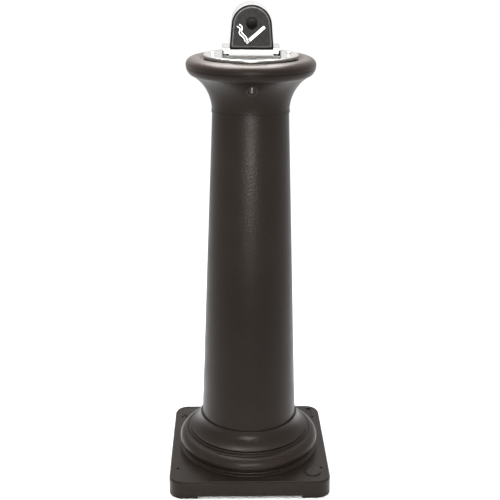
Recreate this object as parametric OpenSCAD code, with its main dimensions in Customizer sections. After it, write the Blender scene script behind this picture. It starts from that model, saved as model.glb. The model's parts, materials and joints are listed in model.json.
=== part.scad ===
// Free-standing column ashtray bin: a square ballasted plinth, a turned base, a tapered hollow
// shaft and a bell-shaped capital. A hinged, lockable head carries a stainless stubbing plate and a
// rain hood with a letterbox slot. A bucket with a bail handle hangs in the neck below the slot.
// Millimetres, +Z up, -Y is the front, the origin is on the floor under the column's axis.

/* [Plinth] */
// Side of the square plinth
plinth_side = 330; // [326:1:340]
// Radius of the plinth's corners in plan
plinth_corner_r = 29; // [24:1:32]
// Height of the plinth's top face above the floor
plinth_top = 38.5; // [38:0.5:40]
// Height of the corner feet under the skirt
foot_h = 5; // [4:0.5:6]
// Length of each corner foot along the plinth's side
foot_len = 59; // [50:1:62]

/* [Column] */
// Height from the plinth's top face to the top edge of the collar
collar_rise = 78.5; // [77:0.5:80]
// Outer radius of the shaft at the collar's top edge
shaft_bottom_r = 99.1; // [98:0.1:99.5]
// Outer radius of the shaft just under the capital
shaft_top_r = 75.1; // [75:0.1:76]
// Height of the capital's lower edge above the floor
neck_z = 764; // [762:1:766]
// Wall thickness of the shaft
shaft_wall = 4; // [3.5:0.5:4.5]

/* [Head] */
// Largest radius of the rounded rim
rim_r = 125.4; // [125:0.1:126]
// Height of the parting between capital and lid above the floor
parting_z = 850; // [849.5:0.5:850.5]
// Radius of the stainless stubbing plate
plate_r = 91.4; // [90:0.2:92]
// Height of the plate's top face above the floor
plate_z = 875; // [874.5:0.5:875.5]

/* [Hood] */
// Width of the letterbox under the hood
letterbox_w = 111; // [110:0.5:112]
// Depth of the letterbox and the hood, front to back
letterbox_d = 90.6; // [88:0.2:92]
// Height of the letterbox above the plate
letterbox_h = 14.6; // [14:0.2:16]
// Radius of the arch at the top of the hood
arch_r = 37.4; // [36:0.2:38]
// Half of the hood's width where it meets the letterbox
hood_foot_w = 40.9; // [40:0.1:42]
// Height of the top of the hood above the floor
total_h = 970; // [966:1:974]

/* [Bucket] */
// Radius of the bucket just below its flange
bucket_top_r = 61.5; // [60:0.5:62]
// Radius of the bucket's floor
bucket_floor_r = 55; // [50:1:56]
// Depth of the bucket below its flange
bucket_h = 298; // [250:2:320]

/* [Hidden] */
$fn = 96;
eps = 0.05;
fit_gap = 0.1;
run_gap = 0.05;
swing_gap = 0.3;
pilot_r = 1.6;

// Plinth
half = plinth_side / 2;
plate_t = 4;
skirt_t = 4;
base_plate_t = 3;
base_plate_z = foot_h;
cavity_z = base_plate_z + base_plate_t;
cavity_side = plinth_side - 2 * skirt_t;
shoulder_z = plinth_top - 3.5;
anchor_r = 2.75;
anchor_x = 148.6;
anchor_y = 111;
anchor_boss_r = 8;
filler_front = [130, -127];
filler_rear = [-130, 127];
filler_r = 13.5;
filler_head_r = 17;
seal_t = 0.8;
plug_head_t = 1.8;
edge_r = 0.8;
recess_size = [11, 54, 2.5];
recess_at = [142.5, 124];
closing_screws = [for (s = [-1, 1], t = [-1, 1]) each [[s * 80, t * 150], [s * 150, t * 80]]];
closing_boss_r = 6;
edge_step = 2;

// Column
collar_z = 84;
collar_top = plinth_top + collar_rise;
ring_in_r = 105;
taper = (shaft_bottom_r - shaft_top_r) / (neck_z - collar_top);
shaft_foot_r = shaft_bottom_r + taper * (collar_top - plinth_top);
flange_t = 5.5;
flange_in_r = 80;
bolt_ring_r = 88.5;
bolt_angles = [45, 135, 225, 315];
spigot_r = 71.4;
spigot_top = neck_z + 27;
neck_screw_z = neck_z + 14;

// Capital: a hollow cavetto with a rounded rim above it
bell_r = 75.6;
bell_z = neck_z + 2;
bell_a = 72.3;
bell_b = 79;
rim_c = [108, parting_z + 6];
rim_a = rim_r - rim_c[0];
rim_low_b = 22;
rim_high_b = 14;
crease_z = 838.3;
mouth_r = 108;
ledge_z = 798;
ledge_t = 5;
ledge_r = 65.5;

// Lid
lid_z = parting_z + swing_gap;
land_r = 104;
deck_top = plate_z - 9;
deck_t = 4;
deck_r = 62;
sheet_t = 1.6;
plate_low = plate_z - sheet_t;
skirt_z = plate_z - 6;
drop_size = [88, 76];
plate_screw_at = [73.5, 10];
plate_boss_r = 6.5;
plate_ring = [82, 86];

// Letterbox and hood
hood_z = plate_z + letterbox_h;
hood_sheet = 1.5;
front_y = -letterbox_d / 2;
slot_w = letterbox_w - 4;
slot_low = plate_z + 1.9;
slot_high = hood_z - 2.2;
arch_z = total_h - arch_r;
letterbox_rivet_at = [49, 25];
hood_rivet_at = [34, 31];
rivet_hole_r = 1.6;
deflector_low = [-23.4, 872.6];
deflector_high = [-21.5, hood_z - hood_sheet];
deflector_t = 1.2;
deflector_w = [52, 42];
deflector_step_z = plate_z + 3;
face_proud = 1.4;
face_plug_z = arch_z + 3.4;
face_plug_r = 10;

// Lock: quarter turn, slot upright when the head is free to open
lock_z = 820.5;
lock_face_y = -96;
lock_seat_y = -94.5;
lock_nut_y = -81;
lock_end_y = -76;
lock_plug_r = 7.5;
cam_t = 2.5;
cam_len = 18;
cam_w = 9;
keeper_x = 21;
keeper_flange = [16, 17];
keeper_screw_x = [26, 33];
keeper_screw_y = -86;

// Hinge at the back
hinge_y = 128.9;
hinge_z = parting_z + swing_gap / 2;
hinge_half = 30;
knuckle_r = 3.6;
hinge_pin_r = 1.75;
leaf_t = 1.8;
leaf_y0 = 110;
leaf_y1 = 125;
knuckle_len = 2 * hinge_half / 5;
hinge_screw_at = [18, 116];

// Bucket and handle
bucket_sheet = 1;
bucket_flange_r = 69;
bucket_z = ledge_z - bucket_h;
rim_sheet = 1.5;
ear_x = 67.4;
ear_t = 1.5;
ear_r = 4.4;
ear_rivet_at = [ear_x - 3.6, 5.5];
wire_r = 2.5;
bail_z = ledge_z + rim_sheet + wire_r + 2;
bail_r = 63;
bail_bend = 4;

function shaft_r(z) = shaft_bottom_r - taper * (z - collar_top);
function arc(c, a, b, from, to, n) =
    [for (i = [0:n]) let (t = from + (to - from) * i / n) [c[0] + a * cos(t), c[1] + b * sin(t)]];
function bell(z) = bell_r + bell_a * (1 - sqrt(1 - pow((z - bell_z) / bell_b, 2)));

// Cylinder along Z, X or Y between two positions
module post(r, z0, z1, at = [0, 0]) {
    translate([at[0], at[1], z0]) cylinder(r = r, h = z1 - z0);
}
module rod_x(r, x0, x1, y, z) {
    translate([x0, y, z]) rotate([0, 90, 0]) cylinder(r = r, h = x1 - x0);
}
module rod_y(r, y0, y1, x, z) {
    translate([x, y1, z]) rotate([90, 0, 0]) cylinder(r = r, h = y1 - y0);
}
module block(x0, x1, y0, y1, z0, z1) {
    translate([x0, y0, z0]) cube([x1 - x0, y1 - y0, z1 - z0]);
}
module washer(r_out, r_in, z0, z1) {
    difference() {
        post(r_out, z0, z1);
        post(r_in, z0 - 1, z1 + 1);
    }
}
module rounded_slab(size, r, z0, z1) {
    translate([0, 0, z0]) linear_extrude(z1 - z0) union() {
        square([size[0] - 2 * r, size[1]], center = true);
        square([size[0], size[1] - 2 * r], center = true);
        for (s = [-1, 1], t = [-1, 1])
            translate([s * (size[0] / 2 - r), t * (size[1] / 2 - r)]) circle(r);
    }
}
module at_corners(x, y) {
    for (s = [-1, 1], t = [-1, 1]) translate([s * x, t * y, 0]) children();
}
// Pan-head screw: head on the side of z_seat that dir points to, shank the other way
module pan_screw(head_r, head_h, shank_r, shank_len) {
    cylinder(r = shank_r, h = shank_len + eps);
    translate([0, 0, -head_h]) cylinder(r1 = head_r * 0.8, r2 = head_r, h = head_h * 0.45);
    translate([0, 0, -head_h * 0.55]) cylinder(r = head_r, h = head_h * 0.55);
}

// ---------------------------------------------------------------- plinth
module plinth() {
    color("#2f2b28") difference() {
        union() {
            rounded_slab([plinth_side, plinth_side], plinth_corner_r, foot_h, shoulder_z);
            rounded_slab([plinth_side - 2 * edge_step, plinth_side - 2 * edge_step],
                plinth_corner_r - edge_step, shoulder_z - eps, plinth_top);
        }
        difference() {
            rounded_slab([cavity_side, cavity_side], plinth_corner_r - skirt_t, foot_h - 1,
                plinth_top - plate_t);
            at_corners(anchor_x, anchor_y) post(anchor_boss_r, cavity_z, plinth_top);
            for (p = closing_screws) post(closing_boss_r, cavity_z, plinth_top, p);
            post(filler_head_r, plinth_top - plate_t - 2, plinth_top, filler_front);
            post(filler_head_r, plinth_top - plate_t - 2, plinth_top, filler_rear);
        }
        at_corners(anchor_x, anchor_y) post(anchor_r, -1, plinth_top + 1);
        for (p = closing_screws) post(1.8, cavity_z - 1, cavity_z + 14, p);
        post(filler_r + fit_gap, 0, plinth_top + 1, filler_front);
        post(filler_r + fit_gap, 0, plinth_top + 1, filler_rear);
        for (a = bolt_angles) rotate(a) post(4.2, 0, plinth_top + 1, [bolt_ring_r, 0]);
        translate([recess_at[0], recess_at[1], plinth_top - recess_size[2]])
            translate([-recess_size[0] / 2, -recess_size[1] / 2, 0])
                cube([recess_size[0], recess_size[1], recess_size[2] + 1]);
    }
}
module corner_feet() {
    color("#2b2725") difference() {
        intersection() {
            rounded_slab([plinth_side, plinth_side], plinth_corner_r, 0, foot_h);
            at_corners(half - foot_len / 2, half - foot_len / 2)
                translate([0, 0, foot_h / 2]) cube([foot_len, foot_len, foot_h + 2], center = true);
        }
        at_corners(anchor_x, anchor_y) post(anchor_r, -1, foot_h + 1);
    }
}
module base_plate() {
    color("#3a3634") difference() {
        rounded_slab([cavity_side - 1, cavity_side - 1], plinth_corner_r - skirt_t - 0.5,
            base_plate_z, cavity_z);
        at_corners(anchor_x, anchor_y) post(anchor_r, -1, cavity_z + 1);
        for (p = closing_screws) post(2, 0, cavity_z + 1, p);
    }
}
module base_plate_screws() {
    color("silver") for (p = closing_screws)
        translate([p[0], p[1], base_plate_z]) pan_screw(3.6, 2, 1.75, 15);
}
module ballast() {
    top = plinth_top - plate_t - 0.5;
    color("#b09a74") difference() {
        rounded_slab([cavity_side - 2, cavity_side - 2], plinth_corner_r - skirt_t - 1, cavity_z, top);
        at_corners(anchor_x, anchor_y) post(anchor_boss_r + 0.5, 0, top + 1);
        for (p = closing_screws) post(closing_boss_r + 0.5, 0, top + 1, p);
        for (p = [filler_front, filler_rear]) {
            post(filler_head_r + 0.5, top - 2, top + 1, p);
            post(filler_r + 1, top - 6, top + 1, p);
        }
        for (a = bolt_angles) rotate(a) post(11, top - 12, top + 1, [bolt_ring_r, 0]);
    }
}
module filler_plug(at) {
    z = plinth_top + seal_t;
    color("#2b2725") difference() {
        union() {
            post(filler_head_r, z, z + plug_head_t - edge_r, at);
            post(filler_head_r - edge_r, z, z + plug_head_t, at);
            post(filler_r, plinth_top - 9, z + eps, at);
        }
        post(filler_r - 3, plinth_top - 10, z - 1, at);
    }
}
module filler_plug_front() { filler_plug(filler_front); }
module filler_plug_rear() { filler_plug(filler_rear); }
module filler_seals() {
    color("#151515") for (p = [filler_front, filler_rear])
        translate([p[0], p[1], 0])
            washer(filler_head_r - 0.8, filler_r + 0.3, plinth_top, plinth_top + seal_t);
}

// ---------------------------------------------------------------- column
module base_ring() {
    z = plinth_top;
    roll_c = [129.6, z + 20.3];
    roll_r = 18;
    profile = concat(
        [[ring_in_r, z], [148.5, z], [148.5, z + 2.5], [146.5, z + 3.6], [143, z + 6.2]],
        arc(roll_c, roll_r, roll_r, -45, 85, 16),
        [[129.2, z + 37.2], [127.9, z + 38.4], [127.3, z + 39], [127.3, z + 43], [126.6, z + 43.8]],
        [[121.5, z + 43.8], [121.5, collar_z], [ring_in_r, collar_z]]);
    color("#2f2b28") difference() {
        rotate_extrude() polygon(profile);
        washer(138, ring_in_r + 4, z - 1, z + 30);
    }
}
module column_collar() {
    flare_a = 46.2;
    flare_b = 34;
    lip_r = shaft_bottom_r + 3.6;
    lip_z = collar_top - 2.5;
    low_z = collar_z + 1.5;
    profile = concat(
        [[shaft_r(collar_z) + fit_gap, collar_z], [121.5, collar_z], [124.8, collar_z + 0.4]],
        [for (i = [0:9]) let (u = (lip_z - low_z) * (1 - i / 9))
            [lip_r + flare_a * (1 - sqrt(1 - pow(u / flare_b, 2))), lip_z - u]],
        [[lip_r, collar_top - 0.6], [lip_r - 0.6, collar_top]],
        [[shaft_r(collar_top) + fit_gap, collar_top]]);
    color("#2f2b28") difference() {
        rotate_extrude() polygon(profile);
        washer(113, 104, collar_z - 1, collar_z + 6);
    }
}
module shaft() {
    color("#2f2b28") difference() {
        rotate_extrude() polygon([
            [flange_in_r, plinth_top], [shaft_foot_r, plinth_top], [shaft_top_r, neck_z],
            [spigot_r, neck_z], [spigot_r, spigot_top], [spigot_r - shaft_wall, spigot_top],
            [shaft_top_r - shaft_wall - 3, neck_z - 4], [shaft_top_r - shaft_wall, neck_z - 12],
            [shaft_foot_r - shaft_wall, plinth_top + flange_t], [flange_in_r, plinth_top + flange_t]]);
        for (a = bolt_angles) rotate(a) {
            post(4.2, plinth_top - 1, plinth_top + flange_t + 1, [bolt_ring_r, 0]);
            rod_x(2.2, spigot_r - shaft_wall - 6, spigot_r + 2, 0, neck_screw_z);
        }
    }
}
module shaft_bolts() {
    seat = plinth_top + flange_t;
    color("silver") for (a = bolt_angles) rotate(a) translate([bolt_ring_r, 0, 0]) {
        post(4, plinth_top - 13, seat + eps);
        post(8.5, seat, seat + 1.6);
        post(7.5, seat + 1.6 - eps, seat + 7, $fn = 6);
    }
}
module shaft_nuts() {
    low = plinth_top - plate_t - 6.5;
    color("silver") for (a = bolt_angles) rotate(a) translate([bolt_ring_r, 0, 0]) difference() {
        union() {
            post(7.5, low, low + 5.2, $fn = 6);
            post(8.5, low + 5, low + 6.5);
        }
        post(4.05, low - 1, low + 7);
    }
}

// ---------------------------------------------------------------- capital
function rim_low_arc(n) = arc(rim_c, rim_a, rim_low_b, asin((crease_z - rim_c[1]) / rim_low_b),
    asin((parting_z - rim_c[1]) / rim_low_b), n);
module capital_outer() {
    rotate_extrude() polygon(concat(
        [[0, neck_z], [bell_r + 0.7, neck_z], [bell_r + 0.9, neck_z + 0.8],
         [bell_r + 0.9, neck_z + 5], [bell_r + 0.3, neck_z + 6]],
        [for (i = [0:14]) let (z = neck_z + 7 + (crease_z - neck_z - 7) * sin(90 * i / 14))
            [bell(z), z]],
        rim_low_arc(6),
        [[0, parting_z]]));
}
module capital_inner() {
    wall = 3.8;
    rotate_extrude() polygon(concat(
        [[0, neck_z - 1], [spigot_r + fit_gap, neck_z - 1], [spigot_r + fit_gap, ledge_z - ledge_t],
         [ledge_r, ledge_z - ledge_t], [ledge_r, ledge_z]],
        [for (i = [0:10]) let (z = ledge_z + (crease_z - 5 - ledge_z) * i / 10) [bell(z) - wall, z]],
        [[mouth_r, crease_z + 1], [mouth_r, parting_z + 1], [0, parting_z + 1]]));
}
module capital() {
    boss_r = 11.8;
    color("#2f2b28") difference() {
        union() {
            difference() {
                capital_outer();
                capital_inner();
            }
            rod_y(boss_r, lock_seat_y, lock_nut_y, 0, lock_z);
            intersection() {
                capital_outer();
                rod_y(boss_r, -112, lock_nut_y, 0, lock_z);
            }
        }
        rod_y(10.2, -125, lock_seat_y, 0, lock_z);
        rod_y(8.9, -100, -70, 0, lock_z);
        for (a = bolt_angles) rotate(a) rod_x(2.1, 60, bell_r - 1, 0, neck_screw_z);
        block(-hinge_half - 0.5, hinge_half + 0.5, leaf_y0 - 0.5, rim_r + 5, parting_z - leaf_t, parting_z + 1);
        for (s = [-1, 1])
            post(pilot_r, parting_z - 11, parting_z, [s * hinge_screw_at[0], hinge_screw_at[1]]);
    }
}
module neck_screws() {
    color("silver") for (a = bolt_angles) rotate(a)
        translate([spigot_r - shaft_wall, 0, neck_screw_z]) rotate([0, 90, 0])
            pan_screw(4, 2.6, 2, bell_r - 1.5 - spigot_r + shaft_wall);
}
module lock_housing() {
    color("gainsboro") difference() {
        union() {
            rod_y(9.4, lock_face_y, lock_seat_y, 0, lock_z);
            rod_y(8.8, lock_seat_y - eps, lock_end_y - 0.3, 0, lock_z);
        }
        rod_y(lock_plug_r + run_gap, lock_face_y - 1, lock_end_y, 0, lock_z);
    }
}
module lock_nut() {
    color("gainsboro") difference() {
        rod_y(11.5, lock_nut_y, lock_nut_y + 3, 0, lock_z);
        rod_y(8.85, lock_nut_y - 1, lock_nut_y + 4, 0, lock_z);
    }
}
module lock_plug() {
    color("silver") difference() {
        rod_y(lock_plug_r, lock_face_y - 0.4, lock_end_y, 0, lock_z);
        block(-1.4, 1.4, lock_face_y - 1, lock_face_y + 4, lock_z - 6.2, lock_z + 6.2);
        rod_y(2.05, lock_end_y - 8, lock_end_y + 1, 0, lock_z);
    }
}
module lock_cam() {
    y0 = lock_end_y;
    color("silver") difference() {
        union() {
            rod_y(7, y0, y0 + cam_t, 0, lock_z);
            block(-cam_w / 2, cam_w / 2, y0, y0 + cam_t, lock_z, lock_z + cam_len);
        }
        rod_y(2.1, y0 - 1, y0 + cam_t + 1, 0, lock_z);
    }
}
module cam_screw() {
    color("silver") translate([0, lock_end_y + cam_t, lock_z]) rotate([90, 0, 0])
        pan_screw(4, 2.4, 2, 8);
}

// ---------------------------------------------------------------- hinge
module hinge_leaf(z0, segments, side) {
    difference() {
        union() {
            block(-hinge_half, hinge_half, leaf_y0, leaf_y1, z0, z0 + leaf_t);
            for (i = segments) let (x0 = -hinge_half + i * knuckle_len + 0.15, x1 = x0 + knuckle_len - 0.3) {
                rod_x(knuckle_r, x0, x1, hinge_y, hinge_z);
                block(x0, x1, leaf_y1 - eps, hinge_y, z0, z0 + leaf_t);
            }
        }
        rod_x(hinge_pin_r + run_gap, -hinge_half - 1, hinge_half + 1, hinge_y, hinge_z);
        for (s = [-1, 1]) {
            post(1.9, z0 - 1, z0 + leaf_t + 1, [s * hinge_screw_at[0], hinge_screw_at[1]]);
            translate([s * hinge_screw_at[0], hinge_screw_at[1], z0 + leaf_t / 2]) rotate([side > 0 ? 0 : 180, 0, 0])
                translate([0, 0, -0.5]) cylinder(r1 = 1.9, r2 = 3.6, h = leaf_t / 2 + 0.5 + eps);
        }
    }
}
module hinge_leaf_lower() {
    color("gainsboro") hinge_leaf(parting_z - leaf_t, [0, 2, 4], 1);
}
module hinge_leaf_upper() {
    color("gainsboro") hinge_leaf(lid_z, [1, 3], -1);
}
module hinge_screw(z, up) {
    for (s = [-1, 1]) translate([s * hinge_screw_at[0], hinge_screw_at[1], z]) rotate([up ? 0 : 180, 0, 0]) {
        cylinder(r1 = 3.4, r2 = 1.5, h = leaf_t / 2 + 0.4);
        cylinder(r = 1.5, h = 9);
    }
}
module hinge_screws_lower() { color("silver") hinge_screw(parting_z - 0.1, false); }
module hinge_screws_upper() { color("silver") hinge_screw(lid_z + 0.1, true); }
module hinge_pin() {
    color("silver") {
        rod_x(hinge_pin_r, -hinge_half - 0.5, hinge_half + 0.5, hinge_y, hinge_z);
        for (s = [-1, 1]) rod_x(2.6, s * (hinge_half + 0.9) - 0.6, s * (hinge_half + 0.9) + 0.6, hinge_y, hinge_z);
    }
}

// ---------------------------------------------------------------- lid
function rim_high(n) = concat(
    arc(rim_c, rim_a, rim_low_b, asin((lid_z - rim_c[1]) / rim_low_b), 0, 3),
    arc(rim_c, rim_a, rim_high_b, 10, 90, n),
    arc([rim_c[0], deck_top], 12, rim_c[1] + rim_high_b - deck_top, 100, 160, 4));
module lid_profile() {
    polygon(concat([[land_r, lid_z]], rim_high(9), [[deck_r, deck_top],
        [deck_r, deck_top - deck_t], [98, deck_top - deck_t], [land_r, deck_top - deck_t - 5]]));
}
module lid_rim() {
    color("#2f2b28") difference() {
        union() {
            difference() {
                rotate_extrude() lid_profile();
                difference() {
                    washer(118.5, 110.5, lid_z - 1, lid_z + 11);
                    block(-hinge_half - 4, hinge_half + 4, 90, 130, lid_z - 2, lid_z + 12);
                }
            }
            washer(plate_ring[1], plate_ring[0], deck_top - eps, plate_low);
            for (s = [-1, 1])
                post(plate_boss_r, deck_top - eps, plate_low, [s * plate_screw_at[0], plate_screw_at[1]]);
        }
        for (s = [-1, 1]) {
            post(2.25, deck_top - 2, plate_low + 1, [s * plate_screw_at[0], plate_screw_at[1]]);
            post(pilot_r, lid_z - 1, lid_z + 10, [s * hinge_screw_at[0], hinge_screw_at[1]]);
        }
        block(-hinge_half - 0.5, hinge_half + 0.5, leaf_y0 - 0.5, rim_r + 5, lid_z - 1, lid_z + leaf_t);
        for (x = keeper_screw_x)
            post(pilot_r, deck_top - deck_t - 1, deck_top - 1, [x, keeper_screw_y]);
    }
}
module snuff_plate() {
    color("gainsboro") difference() {
        union() {
            post(plate_r - 0.8, plate_low, plate_z);
            washer(plate_r, plate_r - sheet_t, skirt_z, plate_z - 0.8);
            washer(plate_r, plate_r - sheet_t - 1, plate_low, plate_z - 0.8);
        }
        rounded_slab(drop_size, 4, plate_low - 1, plate_z + 1);
        for (s = [-1, 1]) post(2.3, plate_low - 1, plate_z + 1, [s * plate_screw_at[0], plate_screw_at[1]]);
        at_corners(letterbox_rivet_at[0], letterbox_rivet_at[1])
            post(rivet_hole_r, plate_low - 1, plate_z + 1);
    }
}
module plate_screws() {
    color("silver") for (s = [-1, 1])
        translate([s * plate_screw_at[0], plate_screw_at[1], plate_z]) rotate([180, 0, 0])
            pan_screw(4.3, 3.2, 2.2, 10);
}
module letterbox() {
    w = letterbox_w / 2;
    d = letterbox_d / 2;
    t = hood_sheet;
    color("gainsboro") difference() {
        block(-w, w, -d, d, plate_z, hood_z);
        block(-w + t, w - t, -d + t, d - t, plate_z + t, hood_z - t);
        block(-45, 45, -38.5, 38.5, plate_z - 1, plate_z + t + 1);
        block(-w + t, w - t, -d + t, -38, plate_z + 0.8, plate_z + t + 1);
        block(-slot_w / 2, slot_w / 2, -d - 1, -d + t + 1, slot_low, slot_high);
        block(-w - 1, -2, -d - 1, -d + 0.7, plate_z - 1, plate_z + 0.6);
        block(2, w + 1, -d - 1, -d + 0.7, plate_z - 1, plate_z + 0.6);
        at_corners(letterbox_rivet_at[0], letterbox_rivet_at[1])
            post(rivet_hole_r, plate_z - 1, plate_z + t + 1);
        at_corners(hood_rivet_at[0], hood_rivet_at[1]) post(rivet_hole_r, hood_z - t - 1, hood_z + 1);
    }
}
module blind_rivets(at, z0, z1) {
    color("silver") at_corners(at[0], at[1]) {
        post(1.55, z0 - eps, z1 + eps);
        post(3.2, z0 - 1.2, z0);
        post(2.8, z1, z1 + 1.1);
    }
}
module letterbox_rivets() { blind_rivets(letterbox_rivet_at, plate_low, plate_z + hood_sheet); }
module hood_rivets() { blind_rivets(hood_rivet_at, hood_z - hood_sheet, hood_z + hood_sheet); }

// Leaning sheet behind the slot: hangs from the letterbox's roof and reaches down into the drop hole
module slot_deflector() {
    t = deflector_t;
    lean = deflector_high[0] - deflector_low[0];
    color("gainsboro") difference() {
        rotate([90, 0, 90]) translate([0, 0, -deflector_w[0]]) linear_extrude(2 * deflector_w[0])
            polygon([deflector_low, [deflector_low[0] + t, deflector_low[1]],
                [deflector_high[0] + t - lean * t / (deflector_high[1] - deflector_low[1]), deflector_high[1] - t],
                [deflector_high[0] + 10, deflector_high[1] - t], [deflector_high[0] + 10, deflector_high[1]],
                deflector_high]);
        for (m = [0, 1]) mirror([m, 0, 0])
            block(deflector_w[1], deflector_w[0] + 1, deflector_low[0] - 1, deflector_high[0] + t,
                deflector_low[1] - 1, deflector_step_z);
    }
}

// Arched outline standing on the letterbox, shrunk by inset all round, extruded from y0 to y1
module arch_body(inset, y0, y1, low) {
    translate([0, y1, 0]) rotate([90, 0, 0]) linear_extrude(y1 - y0) union() {
        polygon([[-hood_foot_w + inset, low], [hood_foot_w - inset, low],
            [arch_r - inset, arch_z], [-arch_r + inset, arch_z]]);
        intersection() {
            translate([0, arch_z]) circle(arch_r - inset);
            translate([-50, arch_z - eps]) square([100, 60]);
        }
    }
}
module hood() {
    t = hood_sheet;
    d = letterbox_d / 2;
    color("gainsboro") difference() {
        arch_body(0, front_y + 0.8, d, hood_z);
        arch_body(t, front_y - 1, d - t, hood_z + t);
        block(-28, 28, front_y - 1, d - 8, hood_z - 1, hood_z + t + 1);
        at_corners(hood_rivet_at[0], hood_rivet_at[1]) post(rivet_hole_r, hood_z - 1, hood_z + t + 1);
    }
}
module hood_face() {
    t = hood_sheet;
    color("#1d1b1a") difference() {
        union() {
            arch_body(-0.2, front_y - face_proud, front_y + 0.8, hood_z + 0.1);
            arch_body(t + fit_gap, front_y + 0.8 - eps, front_y + 7, hood_z + t + fit_gap);
            arch_body(6, front_y - face_proud - 0.8, front_y, hood_z + 4);
        }
        arch_body(t + 3, front_y + 3, front_y + 8, hood_z + t + 3);
        rod_y(face_plug_r + 1.4, front_y - 5, front_y - face_proud + 0.2, 0, face_plug_z);
        rod_y(6.1, front_y - 5, front_y + 8, 0, face_plug_z);
    }
}
module face_plug() {
    y = front_y - face_proud + 0.2;
    sphere_r = 14;
    color("#151413") union() {
        intersection() {
            translate([0, y + sphere_r - 4.2, face_plug_z]) sphere(sphere_r);
            rod_y(face_plug_r, y - 6, y, 0, face_plug_z);
        }
        rod_y(6, y - eps, front_y + 6, 0, face_plug_z);
    }
}

// Generic pictogram of a smoking cigarette, in the plane of the face
function smoke(from, to, sway, turns, n) = [for (i = [0:n]) let (
    u = i / n,
    across = sway * sin(360 * turns * u) * (0.35 + 0.65 * u))
    [from[0] + (to[0] - from[0]) * u + across, from[1] + (to[1] - from[1]) * u]];
function ribbon(path, w) = let (n = len(path) - 1, side = [for (i = [0:n]) let (
    a = path[max(i - 1, 0)],
    b = path[min(i + 1, n)],
    d = (b - a) / norm(b - a)) [-d[1], d[0]] * w / 2])
    concat([for (i = [0:n]) path[i] + side[i]], [for (i = [n:-1:0]) path[i] - side[i]]);
module smoking_symbol() {
    y = front_y - face_proud - 0.8;
    tip = [-4.5, arch_z - 26.8];
    tilt = 41;
    color("white") translate([0, y, 0]) rotate([90, 0, 0]) linear_extrude(0.35) {
        translate(tip) rotate(tilt) translate([0, -2.8]) square([37.5, 5.6]);
        for (gap = [2.6, 5.6]) translate(tip) rotate(tilt) translate([-gap - 1.2, -2.8]) square([1.2, 5.6]);
        polygon(ribbon(smoke([-8.4, arch_z - 28], [-23.5, arch_z + 2.4], 3.4, 1.5, 30), 1.8));
        polygon(ribbon(smoke([-12.6, arch_z - 29], [-27.6, arch_z - 1], 3.4, 1.5, 30), 1.8));
    }
}
module lock_keeper() {
    y0 = lock_end_y;
    y1 = lock_end_y + cam_t;
    top = deck_top - deck_t;
    low = lock_z - 11;
    color("silver") difference() {
        union() {
            block(keeper_x, keeper_x + 6.5, y0, y1, low, top);
            block(12.5, keeper_x + eps, y0, y1, low, lock_z - cam_w / 2 - 0.5);
            block(keeper_x, keeper_x + keeper_flange[0], y1 - keeper_flange[1], y1, top - cam_t, top);
        }
        for (x = keeper_screw_x) post(pilot_r + 0.2, top - 4, top + 1, [x, keeper_screw_y]);
    }
}
module keeper_screws() {
    color("silver") for (x = keeper_screw_x)
        translate([x, keeper_screw_y, deck_top - deck_t - cam_t]) pan_screw(3, 1.8, 1.5, 5);
}

// ---------------------------------------------------------------- bucket
module bucket() {
    t = bucket_sheet;
    color("darkgray") difference() {
        rotate_extrude() polygon([
            [0, bucket_z], [bucket_floor_r, bucket_z], [bucket_top_r, ledge_z],
            [bucket_flange_r, ledge_z], [bucket_flange_r, ledge_z + rim_sheet],
            [bucket_top_r - t, ledge_z + rim_sheet], [bucket_floor_r - t, bucket_z + t],
            [0, bucket_z + t]]);
        at_corners(ear_rivet_at[0], ear_rivet_at[1]) post(1.1, ledge_z - 1, ledge_z + rim_sheet + 1);
    }
}
module bucket_ears() {
    low = ledge_z + rim_sheet;
    color("darkgray") for (a = [0, 180]) rotate(a) difference() {
        union() {
            block(ear_x - 5.8, ear_x, -7.5, 7.5, low, low + 0.6);
            block(ear_x, ear_x + ear_t, -ear_r, ear_r, low, bail_z);
            rod_x(ear_r, ear_x, ear_x + ear_t, 0, bail_z);
        }
        rod_x(wire_r + run_gap, ear_x - 5, ear_x + 5, 0, bail_z);
        for (s = [-1, 1]) post(1.1, low - 1, low + 2, [ear_rivet_at[0], s * ear_rivet_at[1]]);
    }
}
module ear_rivets() {
    low = ledge_z;
    color("silver") at_corners(ear_rivet_at[0], ear_rivet_at[1]) {
        post(1, low - 0.6, low + rim_sheet + 1.2);
        post(1.8, low + rim_sheet + 0.6, low + rim_sheet + 1.4);
    }
}
module wire_arc(radius, r, from, sweep) {
    rotate(from) rotate_extrude(angle = sweep) translate([radius, 0]) circle(r, $fn = 48);
}
module bail_handle() {
    color("silver") translate([0, 0, bail_z]) {
        translate([0, bail_bend, 0]) wire_arc(bail_r, wire_r, 0, 180);
        translate([bail_r + bail_bend, bail_bend, 0]) wire_arc(bail_bend, wire_r, 180, 90);
        translate([-bail_r - bail_bend, bail_bend, 0]) wire_arc(bail_bend, wire_r, 270, 90);
        for (a = [0, 180]) rotate(a) rod_x(wire_r, bail_r + bail_bend, ear_x + 2.1, 0, 0);
    }
}
module handle_grip() {
    color("#202020") translate([0, bail_bend, bail_z]) difference() {
        wire_arc(bail_r, wire_r + 1.2, 70, 40);
        wire_arc(bail_r, wire_r, 69, 42);
    }
}

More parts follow.
